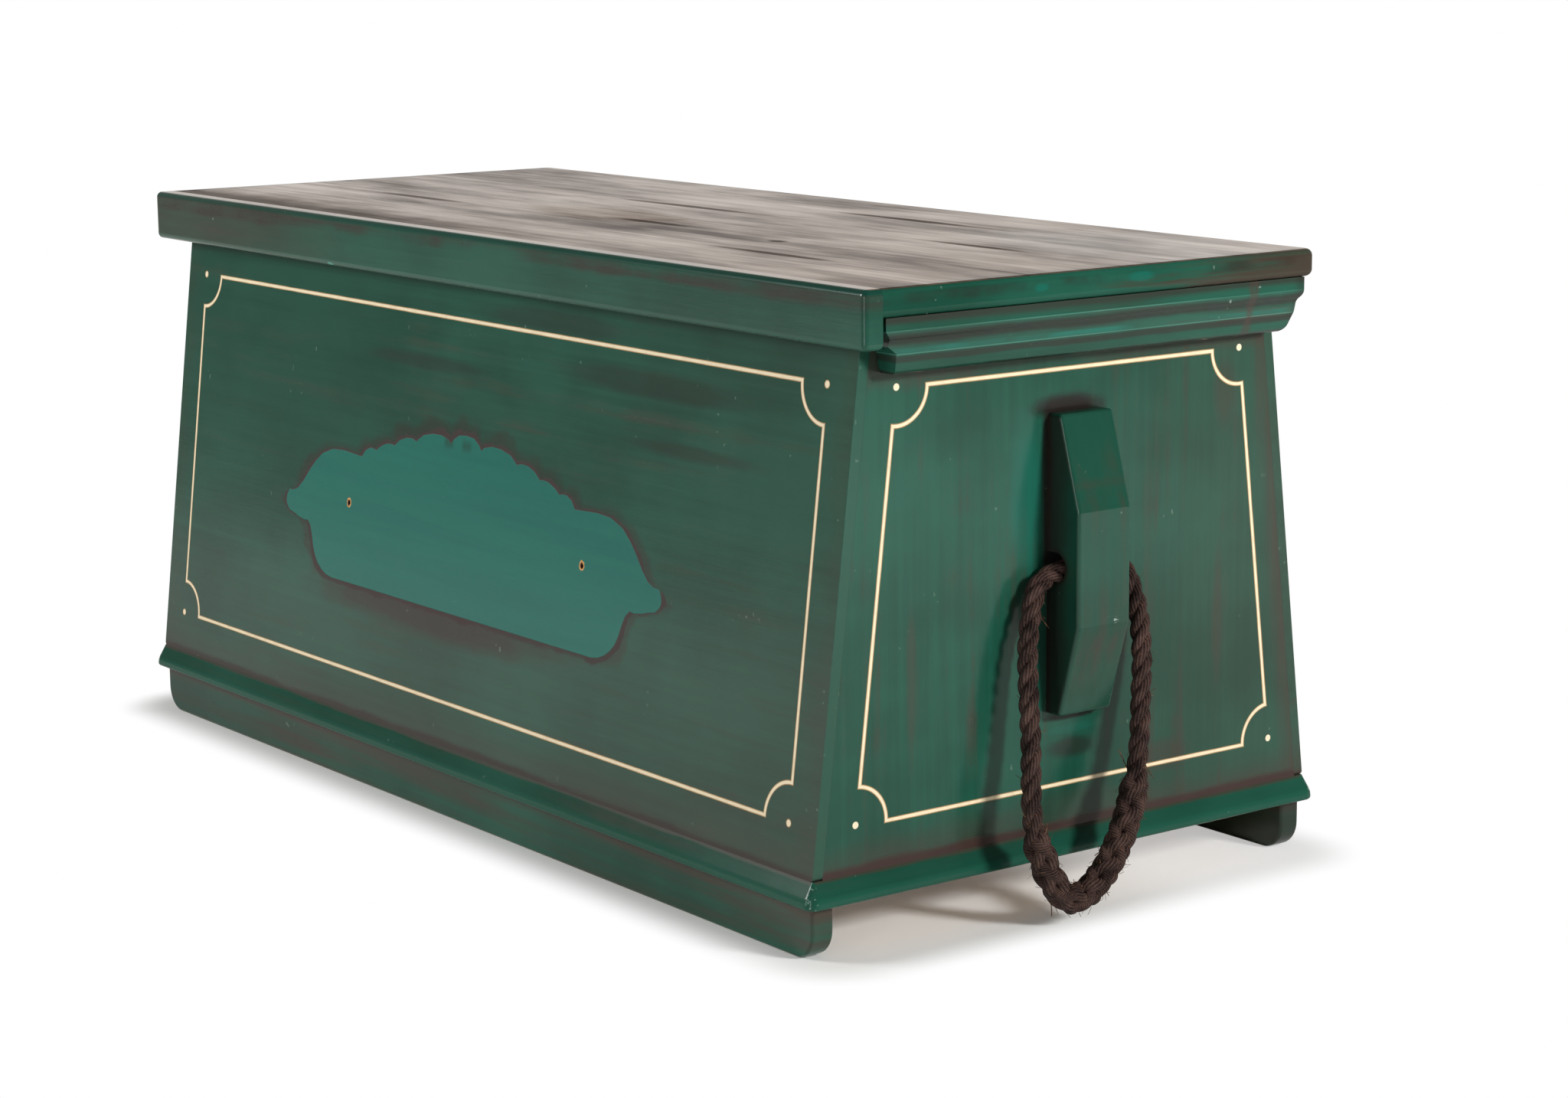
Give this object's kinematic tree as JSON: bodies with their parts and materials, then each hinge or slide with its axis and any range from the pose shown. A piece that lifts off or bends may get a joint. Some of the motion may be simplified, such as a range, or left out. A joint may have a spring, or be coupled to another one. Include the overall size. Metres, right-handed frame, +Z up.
{
  "type": "sea chest",
  "caption": "Painted wooden sea chest with leaning front and back, upright ends, hinged lid with drop rail and end mouldings, skids, and rope beckets in wooden cleats.",
  "frame": {"origin": "middle of the chest's footprint, on the floor that the skids stand on", "axes": "+X along the chest towards its right end, -Y towards its front, +Z up"},
  "size_m": [1.0504, 0.468, 0.45],
  "materials": {
    "green_paint": "satin paint under a brown glaze, bare wood inside",
    "lid_paint": "satin paint under a worn brown glaze",
    "rope": "tarred, matte",
    "hinge_brass": "satin",
    "screw_steel": "satin"
  },
  "bodies": {
    "case": {"front_panel": "green_paint", "back_panel": "green_paint", "end_panel_left": "green_paint", "end_panel_right": "green_paint", "base_board": "green_paint", "skid_front": "green_paint", "skid_back": "green_paint", "becket_cleat_left": "green_paint", "becket_cleat_right": "green_paint", "hinge_case_leaf_left": "hinge_brass", "hinge_case_leaf_right": "hinge_brass", "hinge_pin_left": "hinge_brass", "hinge_pin_right": "hinge_brass", "hinge_case_screws": "screw_steel", "skid_screws": "screw_steel", "end_panel_screws": "screw_steel", "cleat_screws": "screw_steel"},
    "lid": {"lid_front_rail": "green_paint", "lid_board_1": "lid_paint", "lid_board_2": "lid_paint", "lid_board_3": "lid_paint", "lid_board_4": "lid_paint", "lid_moulding_left": "green_paint", "lid_moulding_right": "green_paint", "hinge_lid_leaf_left": "hinge_brass", "hinge_lid_leaf_right": "hinge_brass", "hinge_lid_screws": "screw_steel", "moulding_screws": "screw_steel"},
    "becket_left": {"becket_rope_left": "rope"},
    "becket_right": {"becket_rope_right": "rope"}
  },
  "joints": [
    {"name": "lid_hinge", "type": "hinge", "parent": "case", "child": "lid", "pos_m": [0, 0.1875, 0.4266], "axis": [-1, 0, 0], "range_deg": [0, 115]},
    {"name": "becket_left_swing", "type": "hinge", "parent": "case", "child": "becket_left", "pos_m": [-0.4805, 0, 0.2428], "axis": [0, 1, 0], "range_deg": [-5, 150]},
    {"name": "becket_right_swing", "type": "hinge", "parent": "case", "child": "becket_right", "pos_m": [0.4805, 0, 0.2428], "axis": [0, -1, 0], "range_deg": [-5, 150]}
  ]
}
